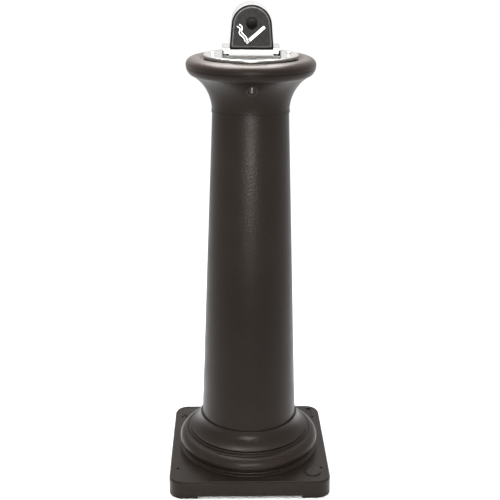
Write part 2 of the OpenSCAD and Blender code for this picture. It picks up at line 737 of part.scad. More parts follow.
plinth();
corner_feet();
base_plate();
base_plate_screws();
ballast();
filler_plug_front();
filler_plug_rear();
filler_seals();
base_ring();
column_collar();
shaft();
shaft_bolts();
shaft_nuts();
capital();
neck_screws();
lock_housing();
lock_nut();
hinge_leaf_lower();
hinge_screws_lower();
hinge_pin();
lid_rim();
snuff_plate();
plate_screws();
letterbox();
letterbox_rivets();
slot_deflector();
hood();
hood_rivets();
hood_face();
face_plug();
smoking_symbol();
lock_keeper();
keeper_screws();
hinge_leaf_upper();
hinge_screws_upper();
lock_plug();
lock_cam();
cam_screw();
bucket();
bucket_ears();
ear_rivets();
bail_handle();
handle_grip();
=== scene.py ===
import json
import math

import bmesh
import bpy
from mathutils import Matrix, Vector


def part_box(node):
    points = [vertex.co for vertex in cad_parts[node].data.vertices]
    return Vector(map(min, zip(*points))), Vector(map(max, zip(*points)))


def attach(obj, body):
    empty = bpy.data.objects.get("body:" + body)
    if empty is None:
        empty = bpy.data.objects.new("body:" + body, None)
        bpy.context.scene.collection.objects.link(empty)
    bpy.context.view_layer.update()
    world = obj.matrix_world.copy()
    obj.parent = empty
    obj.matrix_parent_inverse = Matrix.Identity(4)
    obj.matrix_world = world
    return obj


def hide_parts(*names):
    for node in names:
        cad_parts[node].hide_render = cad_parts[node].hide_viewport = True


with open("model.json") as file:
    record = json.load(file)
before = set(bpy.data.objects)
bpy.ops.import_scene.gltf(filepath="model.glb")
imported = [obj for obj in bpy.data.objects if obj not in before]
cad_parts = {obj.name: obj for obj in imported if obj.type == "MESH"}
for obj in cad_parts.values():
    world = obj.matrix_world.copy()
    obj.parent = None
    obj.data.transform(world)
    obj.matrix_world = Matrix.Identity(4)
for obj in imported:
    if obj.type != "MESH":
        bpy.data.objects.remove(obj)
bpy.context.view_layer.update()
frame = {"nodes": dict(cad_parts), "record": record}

MM = 0.001
ALONG_Y = (-90, "X")
ROUND = 256
SMALL_ROUND = 64


def box_mm(node):
    """Lowest and highest corner of a CAD node, in millimetres."""
    low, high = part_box(node)
    return low / MM, high / MM


# ---------------------------------------------------------------- outlines
def arc(centre, a, b, start, end, steps):
    """Points along an ellipse's arc, angles in degrees."""
    angles = [math.radians(start + (end - start) * k / steps) for k in range(steps + 1)]
    return [(centre[0] + a * math.cos(t), centre[1] + b * math.sin(t)) for t in angles]


def softened(corners, steps=5):
    """Closed outline through corners given as (x, y) or (x, y, reach); a reach rounds the corner off."""
    outline = []
    for i, corner in enumerate(corners):
        here = Vector(corner[:2])
        reach = corner[2] if len(corner) > 2 else 0
        if not reach:
            outline.append(here)
            continue
        back = Vector(corners[i - 1][:2]) - here
        ahead = Vector(corners[(i + 1) % len(corners)][:2]) - here
        start = here + back.normalized() * min(reach, 0.48 * back.length)
        end = here + ahead.normalized() * min(reach, 0.48 * ahead.length)
        for k in range(steps + 1):
            t = k / steps
            outline.append(start * (1 - t) ** 2 + here * (2 * t * (1 - t)) + end * t ** 2)
    return outline


def rounded_rect(size_x, size_y, corner, z, at=(0, 0), steps=10):
    """Ring of points round a rectangle with rounded corners."""
    ring = []
    for quarter in range(4):
        middle = math.radians(45 + 90 * quarter)
        x = at[0] + math.copysign(size_x / 2 - corner, math.cos(middle))
        y = at[1] + math.copysign(size_y / 2 - corner, math.sin(middle))
        for k in range(steps + 1):
            t = math.radians(90 * (quarter + k / steps))
            ring.append(Vector((x + corner * math.cos(t), y + corner * math.sin(t), z)))
    return ring


# ---------------------------------------------------------------- meshes
def lathe(outline, segments=ROUND):
    """Closed outline of (radius, height) points turned about Z; points on the axis stay single."""
    bm = bmesh.new()
    rings = []
    for radius, height in outline:
        if radius < 1e-6:
            rings.append([bm.verts.new((0, 0, height))] * segments)
        else:
            angles = [2 * math.pi * k / segments for k in range(segments)]
            rings.append([bm.verts.new((radius * math.cos(t), radius * math.sin(t), height)) for t in angles])
    for low, high in zip(rings, rings[1:] + rings[:1]):
        for k in range(segments):
            j = (k + 1) % segments
            corners = list(dict.fromkeys((low[k], low[j], high[j], high[k])))
            if len(corners) > 2:
                bm.faces.new(corners)
    bmesh.ops.recalc_face_normals(bm, faces=bm.faces)
    return bm


def loft(rings):
    """Skin over rings with equal numbers of points, closed by a face at each end."""
    bm = bmesh.new()
    loops = [[bm.verts.new(point) for point in ring] for ring in rings]
    for first, second in zip(loops, loops[1:]):
        for k in range(len(first)):
            j = (k + 1) % len(first)
            bm.faces.new((first[k], first[j], second[j], second[k]))
    bm.faces.new(reversed(loops[0]))
    bm.faces.new(loops[-1])
    bmesh.ops.recalc_face_normals(bm, faces=bm.faces)
    return bm


def placed(bm, at=(0, 0, 0), turn=None):
    """The mesh turned by (degrees, axis) and then moved."""
    matrix = Matrix.Translation(at)
    if turn:
        matrix = matrix @ Matrix.Rotation(math.radians(turn[0]), 4, turn[1])
    bmesh.ops.transform(bm, matrix=matrix, verts=bm.verts)
    return bm


def drum(radius, low, high, at=(0, 0), edge=0.0, segments=SMALL_ROUND):
    """Cylinder about Z with softened rims, from low to high."""
    outline = softened([(0, low), (radius, low, edge), (radius, high, edge), (0, high)], 4)
    return placed(lathe(outline, segments), (at[0], at[1], 0))


def slab(size_x, size_y, corner, low, high, at=(0, 0), edge=0.0):
    """Rounded rectangular block, with its top and bottom rims softened by edge."""
    levels = [(edge, low), (0.3 * edge, low + 0.3 * edge), (0, low + edge),
              (0, high - edge), (0.3 * edge, high - 0.3 * edge), (edge, high)]
    if not edge:
        levels = [(0, low), (0, high)]
    return loft([rounded_rect(size_x - 2 * inset, size_y - 2 * inset, max(corner - inset, 0.05), z, at)
                 for inset, z in levels])


def carved(bm, cutters, operation="DIFFERENCE"):
    """The mesh after a boolean with each of the cutters, which are used up."""
    holders = []
    for part in [bm, *cutters]:
        mesh = bpy.data.meshes.new("work")
        part.to_mesh(mesh)
        part.free()
        holder = bpy.data.objects.new("work", mesh)
        bpy.context.scene.collection.objects.link(holder)
        holders.append(holder)
    for tool in holders[1:]:
        step = holders[0].modifiers.new("carve", "BOOLEAN")
        step.operation = operation
        step.solver = "EXACT"
        step.object = tool
    result = bmesh.new()
    result.from_object(holders[0], bpy.context.evaluated_depsgraph_get())
    for holder in holders:
        bpy.data.meshes.remove(holder.data)
    bmesh.ops.dissolve_degenerate(result, dist=1e-4, edges=result.edges)
    return result


def joined(parts):
    """Several meshes as one."""
    bm = bmesh.new()
    for part in parts:
        mesh = bpy.data.meshes.new("work")
        part.to_mesh(mesh)
        part.free()
        bm.from_mesh(mesh)
        bpy.data.meshes.remove(mesh)
    return bm


def add_piece(name, bm, finish, slot, body, *nodes, sharp=34):
    """Makes the mesh a piece that rides on the body and stands for the CAD nodes."""
    bmesh.ops.scale(bm, vec=(MM, MM, MM), verts=bm.verts)
    mesh = bpy.data.meshes.new(name)
    bm.to_mesh(mesh)
    bm.free()
    mesh.shade_smooth()
    mesh.set_sharp_from_angle(angle=math.radians(sharp))
    mesh.materials.append(finish)
    piece = bpy.data.objects.new(name, mesh)
    bpy.context.scene.collection.objects.link(piece)
    shading = piece.modifiers.new("even_shading", "WEIGHTED_NORMAL")
    shading.keep_sharp = True
    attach(piece, body)
    if nodes:
        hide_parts(*nodes)
    return piece


# ---------------------------------------------------------------- materials
class Finish:
    """A procedural material being wired: a Principled shader fed by textures in the piece's own space."""

    def __init__(self, name, **sockets):
        self.material = bpy.data.materials.new(name)
        self.material.use_nodes = True
        self.tree = self.material.node_tree
        self.shader = self.tree.nodes["Principled BSDF"]
        for socket, value in sockets.items():
            self.shader.inputs[socket.replace("_", " ")].default_value = value
        self.space = self.tree.nodes.new("ShaderNodeTexCoord")
        self.normal = None

    def node(self, kind, inputs=None, **settings):
        """New node; inputs maps a socket to a number, a colour or another node's output."""
        made = self.tree.nodes.new(kind)
        for key, value in settings.items():
            setattr(made, key, value)
        for key, value in (inputs or {}).items():
            if isinstance(value, bpy.types.NodeSocket):
                self.tree.links.new(value, made.inputs[key])
            else:
                made.inputs[key].default_value = value
        return made

    def stretched(self, stretch):
        """The piece's coordinates, squeezed or drawn out along each axis."""
        inputs = {"Vector": self.space.outputs["Object"], "Scale": stretch}
        return self.node("ShaderNodeMapping", inputs).outputs[0]

    def noise(self, scale, detail=2.0, stretch=(1, 1, 1)):
        """Noise from 0 to 1 with about scale features to the metre."""
        inputs = {"Vector": self.stretched(stretch), "Scale": scale, "Detail": detail}
        return self.node("ShaderNodeTexNoise", inputs).outputs[0]

    def cells(self, scale, output="Distance", feature="F1"):
        """Cellular pattern with about scale cells to the metre."""
        inputs = {"Vector": self.space.outputs["Object"], "Scale": scale}
        return self.node("ShaderNodeTexVoronoi", inputs, feature=feature).outputs[output]

    def part_of(self, output, axis):
        """One axis of the piece's own coordinates or normal."""
        split = self.node("ShaderNodeSeparateXYZ", {0: self.space.outputs[output]})
        return split.outputs[axis]

    def span(self, value, low, high, to_low=0.0, to_high=1.0):
        """The value mapped from one range to another, clamped."""
        inputs = {0: value, 1: low, 2: high, 3: to_low, 4: to_high}
        return self.node("ShaderNodeMapRange", inputs).outputs[0]

    def maths(self, operation, first, second):
        return self.node("ShaderNodeMath", {0: first, 1: second}, operation=operation).outputs[0]

    def mix(self, amount, first, second):
        """Colour mix; colours are linear triples."""
        made = self.node("ShaderNodeMix", data_type="RGBA")
        for key, value in ((0, amount), (6, first), (7, second)):
            if isinstance(value, bpy.types.NodeSocket):
                self.tree.links.new(value, made.inputs[key])
            elif isinstance(value, tuple):
                made.inputs[key].default_value = (*value, 1)
            else:
                made.inputs[key].default_value = value
        return made.outputs[2]

    def bump(self, height, depth, strength=1.0):
        """Adds relief of the given depth in metres on top of what is there."""
        inputs = {"Height": height, "Distance": depth, "Strength": strength}
        if self.normal:
            inputs["Normal"] = self.normal
        self.normal = self.node("ShaderNodeBump", inputs).outputs[0]

    def done(self, **links):
        """Wires the named shader sockets and the relief, and gives the material."""
        for socket, output in links.items():
            self.tree.links.new(output, self.shader.inputs[socket.replace("_", " ")])
        if self.normal:
            self.tree.links.new(self.normal, self.shader.inputs["Normal"])
        return self.material


def moulded_plastic():
    """Rotomoulded polyethylene: warm near-black, satin, with a fine pebbled grain and a little dust."""
    f = Finish("moulded_plastic", Specular_IOR_Level=0.155, Specular_Tint=(1.0, 0.94, 0.90, 1))
    tone = f.span(f.noise(7, 3), 0.35, 0.65)
    colour = f.mix(tone, (0.0090, 0.0058, 0.0042), (0.0115, 0.0078, 0.0060))
    speck = f.span(f.noise(900, 2), 0.45, 0.70, 0.0, 0.35)
    colour = f.mix(speck, colour, (0.018, 0.013, 0.010))
    facing_up = f.span(f.part_of("Normal", "Z"), 0.55, 1.0)
    dust = f.maths("MULTIPLY", facing_up, f.span(f.noise(38, 4), 0.35, 0.75, 0.0, 0.10))
    colour = f.mix(dust, colour, (0.040, 0.034, 0.030))
    low_down = f.span(f.part_of("Object", "Z"), 0.0, 0.10, 1.0, 0.0)
    scuffs = f.maths("MULTIPLY", low_down, f.span(f.noise(120, 5, (1, 1, 3)), 0.56, 0.72, 0.0, 0.4))
    colour = f.mix(scuffs, colour, (0.030, 0.025, 0.022))
    roughness = f.span(f.noise(24, 4), 0.3, 0.7, 0.30, 0.38)
    f.bump(f.noise(14, 2), 0.0006, 0.5)
    f.bump(f.cells(450, feature="SMOOTH_F1"), 0.00028, 0.9)
    f.bump(f.noise(1500, 2), 0.00008, 0.7)
    return f.done(Base_Color=colour, Roughness=roughness)


def brushed_steel(name, along, tint=(0.36, 0.354, 0.339)):
    """Stainless sheet with hairline brushing along one axis."""
    grain = tuple(0.02 if axis == along else 1.0 for axis in "XYZ")
    f = Finish(name, Metallic=1.0, Anisotropic=0.3)
    hair = f.noise(1800, 3, grain)
    cloud = f.noise(16, 3)
    darker = tuple(0.86 * value for value in tint)
    colour = f.mix(f.span(hair, 0.3, 0.7), darker, tint)
    colour = f.mix(f.span(cloud, 0.4, 0.8, 0.0, 0.25), colour, (0.285, 0.276, 0.262))
    roughness = f.maths("ADD", f.span(hair, 0.25, 0.75, 0.13, 0.22), f.span(cloud, 0.3, 0.7, 0.0, 0.05))
    f.bump(hair, 0.000006, 0.6)
    return f.done(Base_Color=colour, Roughness=roughness)


def bright_sheet():
    """Polished inner sheet behind the slot, faintly streaked."""
    f = Finish("bright_sheet", Metallic=1.0)
    streaks = f.noise(500, 3, (0.05, 1, 1))
    colour = f.mix(f.span(streaks, 0.3, 0.7), (0.92, 0.92, 0.90), (0.97, 0.97, 0.96))
    roughness = f.span(f.noise(90, 3), 0.3, 0.7, 0.12, 0.22)
    f.bump(streaks, 0.00001, 0.5)
    return f.done(Base_Color=colour, Roughness=roughness)


def plated_steel():
    """Zinc-plated fasteners and brackets, faintly mottled."""
    f = Finish("plated_steel", Metallic=1.0)
    mottle = f.noise(240, 4)
    colour = f.mix(f.span(mottle, 0.3, 0.7), (0.38, 0.39, 0.40), (0.56, 0.56, 0.55))
    roughness = f.span(f.noise(600, 3), 0.3, 0.7, 0.26, 0.42)
    f.bump(f.noise(1400, 2), 0.00002, 0.6)
    return f.done(Base_Color=colour, Roughness=roughness)


def lock_metal(name, low, high):
    """Plated zinc of the lock: near-black where it carries the painted shade of the lock's pocket, or worn
    satin nickel.
    """
    f = Finish(name, Metallic=1.0)
    colour = f.mix(f.span(f.noise(300, 4), 0.3, 0.7), low, high)
    roughness = f.span(f.noise(900, 3, (1, 1, 0.1)), 0.3, 0.7, 0.26, 0.42)
    f.bump(f.noise(1800, 2), 0.00002, 0.5)
    return f.done(Base_Color=colour, Roughness=roughness)


def face_plastic(name, colour_low, colour_high, rough_low, rough_high, shine):
    """Semi-gloss black moulding with a fine spark-eroded texture."""
    f = Finish(name, Specular_IOR_Level=shine)
    colour = f.mix(f.span(f.noise(260, 4), 0.3, 0.7), colour_low, colour_high)
    roughness = f.span(f.noise(60, 4), 0.3, 0.7, rough_low, rough_high)
    f.bump(f.cells(900, feature="SMOOTH_F1"), 0.00008, 0.6)
    f.bump(f.noise(2200, 2), 0.00003, 0.5)
    return f.done(Base_Color=colour, Roughness=roughness)


def white_inlay():
    """White pad-printed enamel, very slightly uneven."""
    f = Finish("white_inlay", Coat_Weight=0.15)
    colour = f.mix(f.span(f.noise(400, 3), 0.3, 0.7), (0.80, 0.80, 0.79), (0.90, 0.90, 0.89))
    roughness = f.span(f.noise(500, 3), 0.3, 0.7, 0.38, 0.52)
    f.bump(f.noise(1600, 2), 0.00002, 0.5)
    return f.done(Base_Color=colour, Roughness=roughness)


def packed_sand():
    """Washed sand, grains of three tones."""
    f = Finish("packed_sand")
    tint = f.cells(900, "Color")
    tone = f.node("ShaderNodeSeparateColor", {0: tint}).outputs[0]
    colour = f.mix(tone, (0.30, 0.22, 0.13), (0.56, 0.46, 0.30))
    colour = f.mix(f.span(f.noise(30, 3), 0.4, 0.7, 0.0, 0.4), colour, (0.22, 0.16, 0.10))
    roughness = f.span(f.noise(200, 2), 0.3, 0.7, 0.80, 0.95)
    f.bump(f.cells(900), 0.0006, 0.9)
    return f.done(Base_Color=colour, Roughness=roughness)


def seal_rubber():
    """Matt black rubber with a bloom."""
    f = Finish("seal_rubber", Specular_IOR_Level=0.3)
    colour = f.mix(f.span(f.noise(120, 4), 0.4, 0.7), (0.010, 0.010, 0.010), (0.026, 0.025, 0.024))
    roughness = f.span(f.noise(90, 3), 0.3, 0.7, 0.65, 0.82)
    f.bump(f.noise(1300, 3), 0.00006, 0.6)
    return f.done(Base_Color=colour, Roughness=roughness)


def galvanised_sheet():
    """Hot-dip galvanised steel with crystal spangle."""
    f = Finish("galvanised_sheet", Metallic=1.0)
    tone = f.node("ShaderNodeSeparateColor", {0: f.cells(110, "Color")}).outputs[0]
    colour = f.mix(tone, (0.36, 0.38, 0.40), (0.60, 0.62, 0.63))
    colour = f.mix(f.span(f.noise(20, 4), 0.45, 0.75, 0.0, 0.5), colour, (0.40, 0.40, 0.39))
    roughness = f.span(tone, 0.0, 1.0, 0.30, 0.52)
    f.bump(f.noise(700, 3), 0.00003, 0.5)
    return f.done(Base_Color=colour, Roughness=roughness)


def grip_plastic():
    """Matt black tube with fine lengthwise drawing lines."""
    f = Finish("grip_plastic", Specular_IOR_Level=0.35)
    colour = f.mix(f.span(f.noise(200, 3), 0.3, 0.7), (0.014, 0.014, 0.014), (0.030, 0.029, 0.028))
    roughness = f.span(f.noise(300, 3), 0.3, 0.7, 0.48, 0.62)
    f.bump(f.noise(1500, 2, (0.1, 1, 1)), 0.00006, 0.6)
    return f.done(Base_Color=colour, Roughness=roughness)


PLASTIC = moulded_plastic()
STEEL_X = brushed_steel("brushed_steel_across", "X")
STEEL_Y = brushed_steel("brushed_steel_lengthwise", "Y")
PLATED = plated_steel()
# Near-black lock colour: painted shade that stands in for the shadow in the lock's pocket.
LOCK_PAINTED_SHADE = lock_metal("lock_metal_painted_shade", (0.006, 0.005, 0.005), (0.014, 0.012, 0.011))
LOCK_WORN = lock_metal("worn_nickel", (0.10, 0.10, 0.095), (0.17, 0.17, 0.16))
FACE_PANEL = face_plastic("face_panel_plastic", (0.014, 0.013, 0.013), (0.024, 0.023, 0.022),
                          0.34, 0.46, shine=0.07)
# Bevel copy of the face plastic: lighter colour than the panel, a painted highlight along the bevel.
FACE_BEVEL_PAINTED_HIGHLIGHT = face_plastic("face_bevel_painted_highlight", (0.030, 0.029, 0.028), (0.044, 0.043, 0.041),
                          0.16, 0.26, shine=0.80)
# Frame copy of the face plastic: near-black colour, painted shade of the gap round the raised panel; the face
# plug uses it too.
FACE_PAINTED_SHADE = face_plastic("face_painted_shade_plastic", (0.003, 0.003, 0.003), (0.006, 0.005, 0.005),
                          0.55, 0.66, shine=0.04)
WHITE = white_inlay()
GALVANISED = galvanised_sheet()
NODE_FINISH = {"slot_deflector": bright_sheet()}
SLOT_FINISH = {
    "moulded_body": PLASTIC,
    "stainless_sheet": STEEL_X,
    "steel_hardware": PLATED,
    "lock_metal": LOCK_PAINTED_SHADE,
    "face_plastic": FACE_PANEL,
    "symbol_white": WHITE,
    "sand_fill": packed_sand(),
    "seal_rubber": seal_rubber(),
    "galvanised": GALVANISED,
    "grip_plastic": grip_plastic(),
}


def finish_cad_nodes():
    """Every CAD node takes the finish of its material slot; replaced ones are hidden later."""
    for part in frame["record"]["subparts"]:
        node = frame["nodes"][part["node"]]
        node.data.materials.clear()
        node.data.materials.append(NODE_FINISH.get(part["node"], SLOT_FINISH[part["material_slot"]]))


# ---------------------------------------------------------------- plinth
PLINTH_LOW, PLINTH_HIGH = box_mm("plinth")
PLINTH_SIDE = 2 * PLINTH_HIGH.x
PLINTH_TOP = PLINTH_HIGH.z
PLINTH_CORNER = 29
SKIRT = 4
STEP_WIDTH = 2
STEP_HEIGHT = 3.5
ANCHOR_AT = (148.6, 111)
ANCHOR_R = 2.75
FOOT_LENGTH = 59
RECESS = (11, 54, 2.5)
RECESS_AT = (142.5, 124)
FILLER_R = 13.6
ABOVE_PLINTH = 50


def plug_centre(node):
    """Middle of a filler plug in plan."""
    low, high = box_mm(node)
    return (low.x + high.x) / 2, (low.y + high.y) / 2


def anchor_places():
    """Middles of the four anchor holes in plan."""
    return [(s * ANCHOR_AT[0], t * ANCHOR_AT[1]) for s in (-1, 1) for t in (-1, 1)]


def build_plinth():
    """Square shell with rounded corners, a stepped top edge, anchor holes, filler necks and a recess."""
    shoulder = PLINTH_TOP - STEP_HEIGHT
    low = PLINTH_LOW.z
    levels = [
        (SKIRT, PLINTH_TOP - SKIRT), (SKIRT, low + 0.5), (SKIRT - 0.5, low), (0.9, low), (0.3, low + 0.3),
        (0, low + 0.9), (0, shoulder - 0.7), (0.15, shoulder - 0.25), (0.6, shoulder),
        (STEP_WIDTH - 0.3, shoulder + 0.05), (STEP_WIDTH, shoulder + 0.4), (STEP_WIDTH, PLINTH_TOP - 1.0),
        (STEP_WIDTH + 0.15, PLINTH_TOP - 0.45), (STEP_WIDTH + 0.45, PLINTH_TOP - 0.12),
        (STEP_WIDTH + 1.0, PLINTH_TOP)]
    shell = loft([rounded_rect(PLINTH_SIDE - 2 * inset, PLINTH_SIDE - 2 * inset, PLINTH_CORNER - inset, z,
                               steps=16) for inset, z in levels])
    hole = [(0, 0), (ANCHOR_R, 0), (ANCHOR_R, PLINTH_TOP - 0.3, 0.2), (ANCHOR_R + 0.3, PLINTH_TOP + 0.1),
            (0, ABOVE_PLINTH)]
    neck = [(0, 0), (FILLER_R, 0), (FILLER_R, PLINTH_TOP - 0.5, 0.4), (FILLER_R + 0.8, PLINTH_TOP + 0.3),
            (0, ABOVE_PLINTH)]
    cutters = [placed(lathe(softened(hole), 32), (x, y, 0)) for x, y in anchor_places()]
    for plug in ("filler_plug_front", "filler_plug_rear"):
        cutters.append(placed(lathe(softened(neck), SMALL_ROUND), (*plug_centre(plug), 0)))
    floor_z = PLINTH_TOP - RECESS[2]
    cutters.append(loft([rounded_rect(RECESS[0] + grow, RECESS[1] + grow, 1.6 + grow / 2, z, RECESS_AT, 5)
                         for grow, z in ((-0.8, floor_z), (0, floor_z + 0.4), (0, PLINTH_TOP - 0.5),
                                         (1.0, PLINTH_TOP + 0.1))]))
    add_piece("plinth_shell", carved(shell, cutters), PLASTIC, "moulded_body", "column", "plinth")


def build_feet():
    """Four corner pads that carry the plinth, each following the plinth's rounded corner."""
    top = PLINTH_LOW.z
    half = PLINTH_SIDE / 2
    inner = half - FOOT_LENGTH
    turns = [math.radians(90 * k / 14) for k in range(15)]
    pads = []
    for quarter in range(4):
        rings = []
        for inset, z in ((1.2, 0), (0.4, 0.35), (0, 1.1), (0, top)):
            r = PLINTH_CORNER - inset
            centre = half - PLINTH_CORNER
            edge = half - inset
            heel = inner + inset + 1.5 * (1 - z / top)
            ring = [(heel, heel), (edge, heel)]
            ring += [(centre + r * math.cos(t), centre + r * math.sin(t)) for t in turns]
            ring += [(heel, edge)]
            rings.append([Vector((x, y, z)) for x, y in ring])
        pads.append(placed(loft(rings), turn=(90 * quarter, "Z")))
    holes = [drum(ANCHOR_R, -1, top + 1, place, segments=32) for place in anchor_places()]
    pads = carved(joined(pads), holes)
    add_piece("corner_foot_pads", pads, PLASTIC, "moulded_body", "column", "corner_feet")


def build_filler_plug(node):
    """Round press-in plug with a low crowned head."""
    low, high = box_mm(node)
    x, y = plug_centre(node)
    head_r = (high.x - low.x) / 2
    seat = high.z - 1.8
    outline = softened([
        (0, seat - 1), (10.6, seat - 1), (10.6, low.z), (12.8, low.z, 0.6), (13.4, low.z + 4, 0.4),
        (13.4, seat), (head_r - 0.4, seat, 0.3), (head_r, seat + 0.5, 0.4), (head_r - 0.8, high.z - 0.5, 0.7),
        (head_r - 3.6, high.z - 0.1, 1.6), (0, high.z)])
    plug = placed(lathe(outline, 96), (x, y, 0))
    add_piece(node + "_cap", plug, PLASTIC, "moulded_body", "column", node)


# ---------------------------------------------------------------- column
RING_LOW, RING_HIGH = box_mm("base_ring")
COLLAR_LOW, COLLAR_HIGH = box_mm("column_collar")
SHAFT_LOW, SHAFT_HIGH = box_mm("shaft")
CAPITAL_LOW, CAPITAL_HIGH = box_mm("capital")
COLLAR_TOP = COLLAR_HIGH.z
NECK_Z = CAPITAL_LOW.z
SHAFT_BOTTOM_R = 99.1
SHAFT_TOP_R = 75.1
SHAFT_WALL = 4
SPIGOT_R = 71.4
BOLT_RING_R = 88.5
BOLT_HOLE_R = 4.2
FLANGE_IN_R = 80
FLANGE_T = 5.5
RING_IN_R = 105
RING_TOP_R = 121.5
LIP = 3.6
FIT_GAP = 0.1


def shaft_radius(z):
    """Outer radius of the tapered shaft at a height."""
    return SHAFT_BOTTOM_R + (SHAFT_TOP_R - SHAFT_BOTTOM_R) * (z - COLLAR_TOP) / (NECK_Z - COLLAR_TOP)


def build_base_ring():
    """Turned base: foot ring, undercut, one broad roll, quirk and fillet, hollow underneath."""
    z = RING_LOW.z
    foot_r = RING_HIGH.x
    roll = (129.6, z + 20.3)
    outline = softened([
        (RING_IN_R, z), (109, z), (109, z + 30, 2), (138, z + 30, 2), (138, z), (foot_r, z, 0.5),
        (foot_r, z + 2.5, 0.9), (foot_r - 2.2, z + 3.7, 1.0), (142.9, z + 5.2, 1.4), (142.2, z + 7.3, 0.8),
        *arc(roll, 18, 18, -44, 84, 48), (129.4, z + 37.0, 0.8), (127.9, z + 38.0, 0.6),
        (127.3, z + 39.0, 0.5), (127.3, z + 43.0, 0.8), (126.2, z + 43.8, 0.8),
        (RING_TOP_R, z + 43.8, 0.4), (RING_TOP_R, RING_HIGH.z), (RING_IN_R, RING_HIGH.z)])
    add_piece("base_moulding", lathe(outline), PLASTIC, "moulded_body", "column", "base_ring")


def build_collar():
    """Flared collar between the base ring and the shaft."""
    z = COLLAR_LOW.z
    lip_r = SHAFT_BOTTOM_R + LIP
    lip_z = COLLAR_TOP - 2.5
    flare_low = z + 1.5
    flare_r, flare_h = 46.2, 34
    flare = []
    for k in range(41):
        u = (lip_z - flare_low) * (1 - k / 40)
        flare.append((lip_r + flare_r * (1 - math.sqrt(1 - (u / flare_h) ** 2)), lip_z - u))
    outline = softened([
        (shaft_radius(z) + FIT_GAP, z), (104, z), (104, z + 5), (112, z + 5), (112, z), (RING_TOP_R, z, 0.3),
        (COLLAR_HIGH.x, z + 0.4, 0.4), *flare, (lip_r, COLLAR_TOP - 0.5, 0.6), (lip_r - 0.9, COLLAR_TOP, 0.5),
        (SHAFT_BOTTOM_R + FIT_GAP, COLLAR_TOP)])
    add_piece("collar_moulding", lathe(outline), PLASTIC, "moulded_body", "column", "column_collar")


def build_shaft():
    """Tapered tube with a bolting flange inside its foot and a spigot at its top."""
    low = SHAFT_LOW.z
    inside = SHAFT_TOP_R - SHAFT_WALL
    heights = [low + (NECK_Z - low) * k / 60 for k in range(61)]
    outline = [(FLANGE_IN_R, low), *((shaft_radius(z), z) for z in heights)]
    outline += softened([
        (SPIGOT_R, NECK_Z), (SPIGOT_R, SHAFT_HIGH.z, 1.0), (SPIGOT_R - SHAFT_WALL, SHAFT_HIGH.z, 1.0),
        (inside - 3, NECK_Z - 4), (inside, NECK_Z - 12),
        (shaft_radius(low) - SHAFT_WALL, low + FLANGE_T, 3), (FLANGE_IN_R, low + FLANGE_T, 1)])[:-1]
    angles = [math.radians(a) for a in (45, 135, 225, 315)]
    places = [(BOLT_RING_R * math.cos(t), BOLT_RING_R * math.sin(t)) for t in angles]
    bolt_holes = [drum(BOLT_HOLE_R, low - 1, low + FLANGE_T + 1, place, segments=24) for place in places]
    add_piece("shaft_tube", carved(lathe(outline), bolt_holes), PLASTIC, "moulded_body", "column", "shaft")


# ---------------------------------------------------------------- head
PARTING_Z = CAPITAL_HIGH.z
LID_LOW, LID_HIGH = box_mm("lid_rim")
BELL_R = 75.6
BELL_REACH = 72.3
BELL_H = 79
MOUTH_R = 108
RIM_CENTRE = (MOUTH_R, PARTING_Z + 6)
RIM_A = LID_HIGH.x - RIM_CENTRE[0]
RIM_LOW_B = 22
RIM_HIGH_B = 14
CREASE_Z = PARTING_Z - 11.7
LEDGE_Z = 798
LEDGE_R = 65.5
LOCK_Z = sum(v.z for v in box_mm("lock_housing")) / 2
LOCK_SEAT_Y = -94.5
LOCK_NUT_Y = -81
HINGE_HALF = 30
LEAF_Y = 110
LEAF_T = 1.8


def bell(z):
    """Outer radius of the capital's hollow curve at a height."""
    return BELL_R + BELL_REACH * (1 - math.sqrt(1 - ((z - NECK_Z - 2) / BELL_H) ** 2))


def rim_angle(z):
    """Where a height meets the lower quarter of the rim's ellipse, in degrees."""
    return math.degrees(math.asin((z - RIM_CENTRE[1]) / RIM_LOW_B))


def hinge_pocket(low, high):
    """Cutter that lets a hinge leaf into the edge of the capital or the lid."""
    return placed(slab(2 * HINGE_HALF + 1, 24, 1.0, low, high), (0, LEAF_Y + 11.5, 0))


